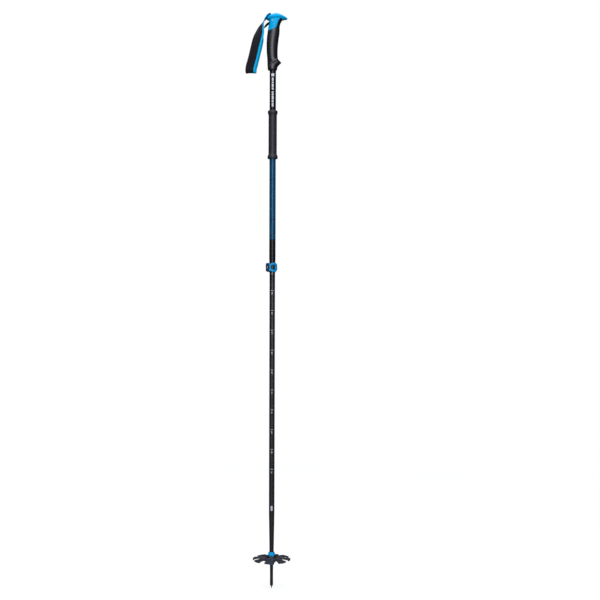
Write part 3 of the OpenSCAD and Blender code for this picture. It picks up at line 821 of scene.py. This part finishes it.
def raised_by(piece, rule):
    """Moves every point along its normal by what the rule gives for its place, in mm."""
    moved = [vertex.co + vertex.normal * rule(vertex.co / MM) * MM for vertex in piece.data.vertices]
    for vertex, place in zip(piece.data.vertices, moved):
        vertex.co = place


raised_by(rubber_grip, pommel_and_ribs)
cut(rubber_grip, plate("panel_side", PANEL_SIDE, "Y", -40, 40))
cut(rubber_grip, rod(CORE_RADIUS + 0.04, (0, 0, CORE_LOW), (0, 0, 1412), 64))
cut(rubber_grip, rod(OVER_TUBE, (0, 0, 1300), (0, 0, CORE_LOW + 2), 64))
smooth(rubber_grip, 55)
soft_rubber = finish("soft_rubber", tone(18, 17, 22), tone(25, 24, 30), 0.4,
                     grain=1300, depth=0.05, mottle=120, gloss=0.8)
dress(rubber_grip, soft_rubber)
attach(rubber_grip, "handle")
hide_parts("grip_body")

# ---- Head ---------------------------------------------------------------------------------
# A hard, glossy blue moulding: domed cap with a beak, the panel that comes down over the
# back of the grip, and the slots that the wrist strap runs through.
HEAD = [(-16.2, 1435.6, 1437.8, 6), (-15.6, 1434.8, 1439.2, 8.4), (-14.2, 1434.2, 1440.8, 10.8),
        (-11, 1433, 1443.6, 14), (-5, 1431.4, 1446.8, 16.6), (2, 1431, 1449, 17.6),
        (9, 1431, 1450, 17.2), (16, 1431.6, 1448.6, 15.6), (23, 1433, 1446, 12.8),
        (29.5, 1434.2, 1442.8, 9.4), (34, 1434.6, 1440.2, 6.2), (36, 1435.4, 1438.8, 3.6),
        (36.6, 1436.2, 1438, 2)]
CORE_HIGH = 1409
PIN_X = -1
PIN_Z = 1430

cap_rings = []
for x, under, over, side in eased(HEAD, 4):
    cap_rings.append(((x, 0, (under + over) / 2), (1, side, (over - under) / 2), 2.2))
cap = lofted("cap", cap_rings)
panel = grip_form("panel")
cut(panel, plate("panel_side", PANEL_SIDE, "Y", -40, 40), "INTERSECT")
cut(cap, panel, "UNION")
cut(cap, rod(OVER_TUBE, (0, 0, 1300), (0, 0, 1408.05), 64))
cut(cap, block((-7, -13.2, 1435.4), (-2.9, 13.2, 1475)))
cut(cap, block((-30, -10.8, 1422.4), (-3.4, 10.8, 1428.8)))
cut(cap, block((-6.5, -11.2, 1421), (2.5, 11.2, 1437.5)))
cut(cap, rod(2.75, (PIN_X, -40, PIN_Z), (PIN_X, -13.6, PIN_Z), 32))
cut(cap, rod(2.75, (PIN_X, 13.6, PIN_Z), (PIN_X, 40, PIN_Z), 32))
melted(cap, 0.42, 4)


def brim_crease(at):
    """The crease all round the brim, which dies away towards the beak."""
    return -0.8 * math.exp(-((at.z - 1438) / 0.8) ** 2) * between(at.x, -40, 16, 18)


raised_by(cap, brim_crease)
core = turned("core", [(OVER_TUBE, CORE_LOW), (CORE_RADIUS, CORE_LOW), (CORE_RADIUS, CORE_HIGH),
                       (OVER_TUBE, CORE_HIGH), (OVER_TUBE, CORE_LOW)])
smooth(core)
grip_cap = joined("grip_cap", cap, core)
head_blue = finish("head_blue", tone(0, 176, 240), tone(0, 186, 247), 0.3,
                   grain=1500, depth=0.01, mottle=90, gloss=0.1)
dress(grip_cap, head_blue)
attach(grip_cap, "handle")
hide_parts("grip_head")

# ---- Strap lock ---------------------------------------------------------------------------
# A nylon wedge inside the head pinches the webbing; a blue screw and its barrel run
# through it from side to side and hold it. Their light tone is partly a painted highlight.
dress(nodes["strap_wedge"], clamp_black)
# The screw and barrel are blue; their lighter tone is a painted highlight.
pin_blue_painted_highlight = finish("pin_blue_painted_highlight", tone(60, 176, 226), tone(96, 196, 236), 0.3, grain=2400, depth=0.008)
dress(nodes["strap_screw"], pin_blue_painted_highlight)
dress(nodes["strap_barrel"], pin_blue_painted_highlight)

# ---- Wrist strap --------------------------------------------------------------------------
# One length of 25 mm webbing, black with a woven blue edge: out of the top of the head, down
# with a quarter twist, round the loop and back in behind. Both edges are stitched.
WEB_WIDTH = 25
WEB_THICK = 1.8
END_NARROWER = 5
STRAP = [(-4.8, 0, 1438, 90), (-4.6, 0, 1441.5, 90), (-4.7, 0, 1444.6, 90), (-6.3, 0, 1447.4, 90),
         (-9.2, 0, 1447.9, 90), (-12, 0, 1446, 90), (-14.6, 0, 1443.4, 90), (-17, 0, 1440.2, 90),
         (-20.2, -0.3, 1435.8, 88), (-23.4, -0.5, 1430.6, 80), (-25.8, -1, 1426, 72),
         (-28.4, -1.8, 1421, 63), (-29.9, -2.8, 1416.7, 55), (-31, -3.8, 1411.6, 46),
         (-32.1, -5, 1406.6, 38), (-32.9, -6, 1401.5, 28), (-34.1, -7, 1396, 18),
         (-36.2, -8, 1389, 9), (-38.8, -8.5, 1381, 3), (-41.3, -9, 1371, 0), (-43.6, -9, 1361, 0),
         (-45.9, -8.6, 1351, 0), (-48.3, -8, 1341, 0), (-50.9, -7.2, 1331, 0),
         (-53.9, -6.4, 1321, 0), (-55.9, -5.8, 1313, 0), (-56.6, -5.5, 1306.5, 0),
         (-56.4, -4.2, 1302.4, 0), (-55.6, -1.6, 1300.4, 0), (-54.6, 1.6, 1300.4, 0),
         (-53.8, 4.2, 1302.4, 0), (-53.4, 5.5, 1306.5, 0), (-52.6, 5.9, 1313, 0),
         (-50.6, 6.4, 1321, 0), (-48.2, 7.2, 1331, 0), (-45.9, 8, 1341, 0), (-43.6, 8.6, 1351, 0),
         (-41.1, 8.8, 1361, 0), (-38.7, 8.4, 1371, 3), (-36.6, 7.4, 1381, 10),
         (-34.3, 5.6, 1391, 28), (-30.2, 3.8, 1400.5, 50), (-26, 2.2, 1408.6, 68),
         (-21.8, 0.8, 1415, 80), (-17.4, 0.2, 1420, 88), (-13.2, 0, 1423.8, 90),
         (-9.4, 0, 1425.9, 90), (-5, 0, 1426.6, 90)]
route = []
for k, row in enumerate(STRAP):
    share = max(0, min(1, (k - len(STRAP) + 6) / 4))
    route.append((*row, WEB_WIDTH - END_NARROWER * share))
route = eased(route, 4)

section = [(-0.5, -0.3), (-0.48, -0.46), (-0.46, -0.5), (-0.3, -0.5), (-0.1, -0.5), (0.1, -0.5),
           (0.3, -0.5), (0.46, -0.5), (0.48, -0.46), (0.5, -0.3), (0.5, 0.3), (0.48, 0.46),
           (0.46, 0.5), (0.3, 0.5), (0.1, 0.5), (-0.1, 0.5), (-0.3, 0.5), (-0.46, 0.5),
           (-0.48, 0.46), (-0.5, 0.3)]


def strap_frames():
    """At each step of the route: middle, way to the blue edge, face, width, length so far, way on."""
    made, run = [], 0
    for k, (x, y, z, turn, width) in enumerate(route):
        ahead = Vector(route[min(k + 1, len(route) - 1)][:3]) - Vector(route[max(k - 1, 0)][:3])
        ahead.normalize()
        side = Vector((math.cos(math.radians(turn)), -math.sin(math.radians(turn)), 0))
        side = (side - ahead * side.dot(ahead)).normalized()
        if k:
            run += (Vector((x, y, z)) - Vector(route[k - 1][:3])).length
        made.append((Vector((x, y, z)), side, ahead.cross(side), width, run, ahead))
    return made


frames = strap_frames()
strap_length = frames[-1][4] * MM
strap_mesh = bpy.data.meshes.new("wrist_strap")
points, faces = [], []
for middle, side, face, width, run, ahead in frames:
    for across, over in section:
        points.append((middle + side * across * width + face * over * WEB_THICK) * MM)
count = len(section)
for k in range(len(frames) - 1):
    for j in range(count):
        a, b = k * count + j, k * count + (j + 1) % count
        faces.append((a, b, b + count, a + count))
faces.append(tuple(range(count))[::-1])
faces.append(tuple((len(frames) - 1) * count + j for j in range(count)))
strap_mesh.from_pydata(points, [], faces)
wrist_strap = bpy.data.objects.new("wrist_strap", strap_mesh)
scene.collection.objects.link(wrist_strap)
cloth_map = strap_mesh.uv_layers.new(name="cloth_map")
for polygon in strap_mesh.polygons:
    for corner in polygon.loop_indices:
        vertex = strap_mesh.loops[corner].vertex_index
        cloth_map.data[corner].uv = (section[vertex % count][0] + 0.5, frames[vertex // count][4] * MM)
close_up(wrist_strap)
smooth(wrist_strap, 60)

BLUE_FROM = 0.815
BLUE_START = 0.011
BLUE_STOP = strap_length - 0.04
WARP_THREADS = 22
WEFT_PITCH = 0.0013

webbing = bpy.data.materials.new("webbing")
webbing.use_nodes = True
tree = webbing.node_tree
shader = tree.nodes["Principled BSDF"]
shader.inputs["Roughness"].default_value = 0.85
shader.inputs["Specular IOR Level"].default_value = 0.15
shader.inputs["Sheen Weight"].default_value = 0.08
shader.inputs["Sheen Roughness"].default_value = 0.5
cloth_at = wire(tree, "UVMap", uv_map="cloth_map")
parts = wire(tree, "SeparateXYZ", {"Vector": cloth_at.outputs["UV"]})
u_at, v_at = parts.outputs["X"], parts.outputs["Y"]
warp = maths(tree, "SINE", maths(tree, "MULTIPLY", u_at, 2 * math.pi * WARP_THREADS))
weft = maths(tree, "SINE", maths(tree, "MULTIPLY", v_at, 2 * math.pi / WEFT_PITCH))
weave = maths(tree, "MULTIPLY", warp, weft)
web_place = wire(tree, "TexCoord").outputs["Object"]
fuzz = wire(tree, "TexNoise", {"Vector": web_place, "Scale": 900, "Detail": 4})
thread = wire(tree, "MapRange", {"Value": weave, "From Min": -1, "From Max": 1, "To Min": 0.84,
                                 "To Max": 1.1})
black_web = wire(tree, "Mix", {"Factor": fuzz.outputs["Fac"], 6: tone(20, 20, 24), 7: tone(38, 38, 44)},
                 data_type="RGBA")
blue_web = wire(tree, "Mix", {"Factor": fuzz.outputs["Fac"], 6: tone(0, 182, 250), 7: tone(0, 206, 255)},
                data_type="RGBA")
at_edge = maths(tree, "GREATER_THAN", u_at, BLUE_FROM)
in_run = maths(tree, "COMPARE", v_at, (BLUE_START + BLUE_STOP) / 2, (BLUE_STOP - BLUE_START) / 2)
in_blue = maths(tree, "MULTIPLY", at_edge, in_run)
web_colour = wire(tree, "Mix", {"Factor": in_blue, 6: black_web.outputs[2], 7: blue_web.outputs[2]},
                  data_type="RGBA")
shaded = wire(tree, "Mix", {"Factor": 1.0, 6: web_colour.outputs[2], 7: thread.outputs["Result"]},
              data_type="RGBA", blend_type="MULTIPLY")
tree.links.new(shaded.outputs[2], shader.inputs["Base Color"])
rise = maths(tree, "MULTIPLY_ADD", fuzz.outputs["Fac"], 0.5, weave)
raised = wire(tree, "Bump", {"Height": rise, "Strength": 0.5, "Distance": 0.12 * MM})
tree.links.new(raised.outputs["Normal"], shader.inputs["Normal"])
dress(wrist_strap, webbing)
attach(wrist_strap, "handle")
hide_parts("strap")


STITCH_START = 14
STITCH_STOP = frames[-1][4] - 34
STITCH_HIGH = 0.2


def stitch_row(name, across, made, pitch, long):
    """A row of lock stitches on both faces of the webbing, one small loaf of thread for each."""
    bpy.ops.object.select_all(action="DESELECT")
    bpy.ops.mesh.primitive_uv_sphere_add(segments=6, ring_count=4, radius=1)
    pattern = bpy.context.object
    pattern.scale = (0.42 * MM, STITCH_HIGH * MM, long / 2 * MM)
    settle(pattern, name)
    copies = []
    step = STITCH_START
    while step < STITCH_STOP:
        k = min(range(len(frames)), key=lambda i: abs(frames[i][4] - step))
        middle, side, face, width, run, ahead = frames[k]
        for outward in (-1, 1):
            spot = middle + side * across * width + face * outward * WEB_THICK / 2
            turn = Matrix((side, face * outward, ahead)).transposed().to_4x4()
            more = pattern.copy()
            more.data = pattern.data.copy()
            more.data.transform(Matrix.Translation(spot * MM) @ turn)
            scene.collection.objects.link(more)
            copies.append(more)
        step += pitch
    bpy.data.objects.remove(pattern)
    row = joined(name, *copies)
    smooth(row, 80)
    close_up(row)
    dress(row, made)
    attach(row, "handle")
    return row


dark_thread = finish("dark_thread", tone(58, 58, 64), tone(76, 76, 82), 0.7, grain=2600, depth=0.03)
seam_thread = finish("seam_thread", tone(44, 22, 25), tone(58, 28, 31), 0.7, grain=2600, depth=0.03)
edge_stitching = stitch_row("edge_stitching", -0.43, dark_thread, pitch=5.0, long=3.3)
seam_stitching = stitch_row("seam_stitching", 0.285, seam_thread, pitch=3.6, long=3.0)
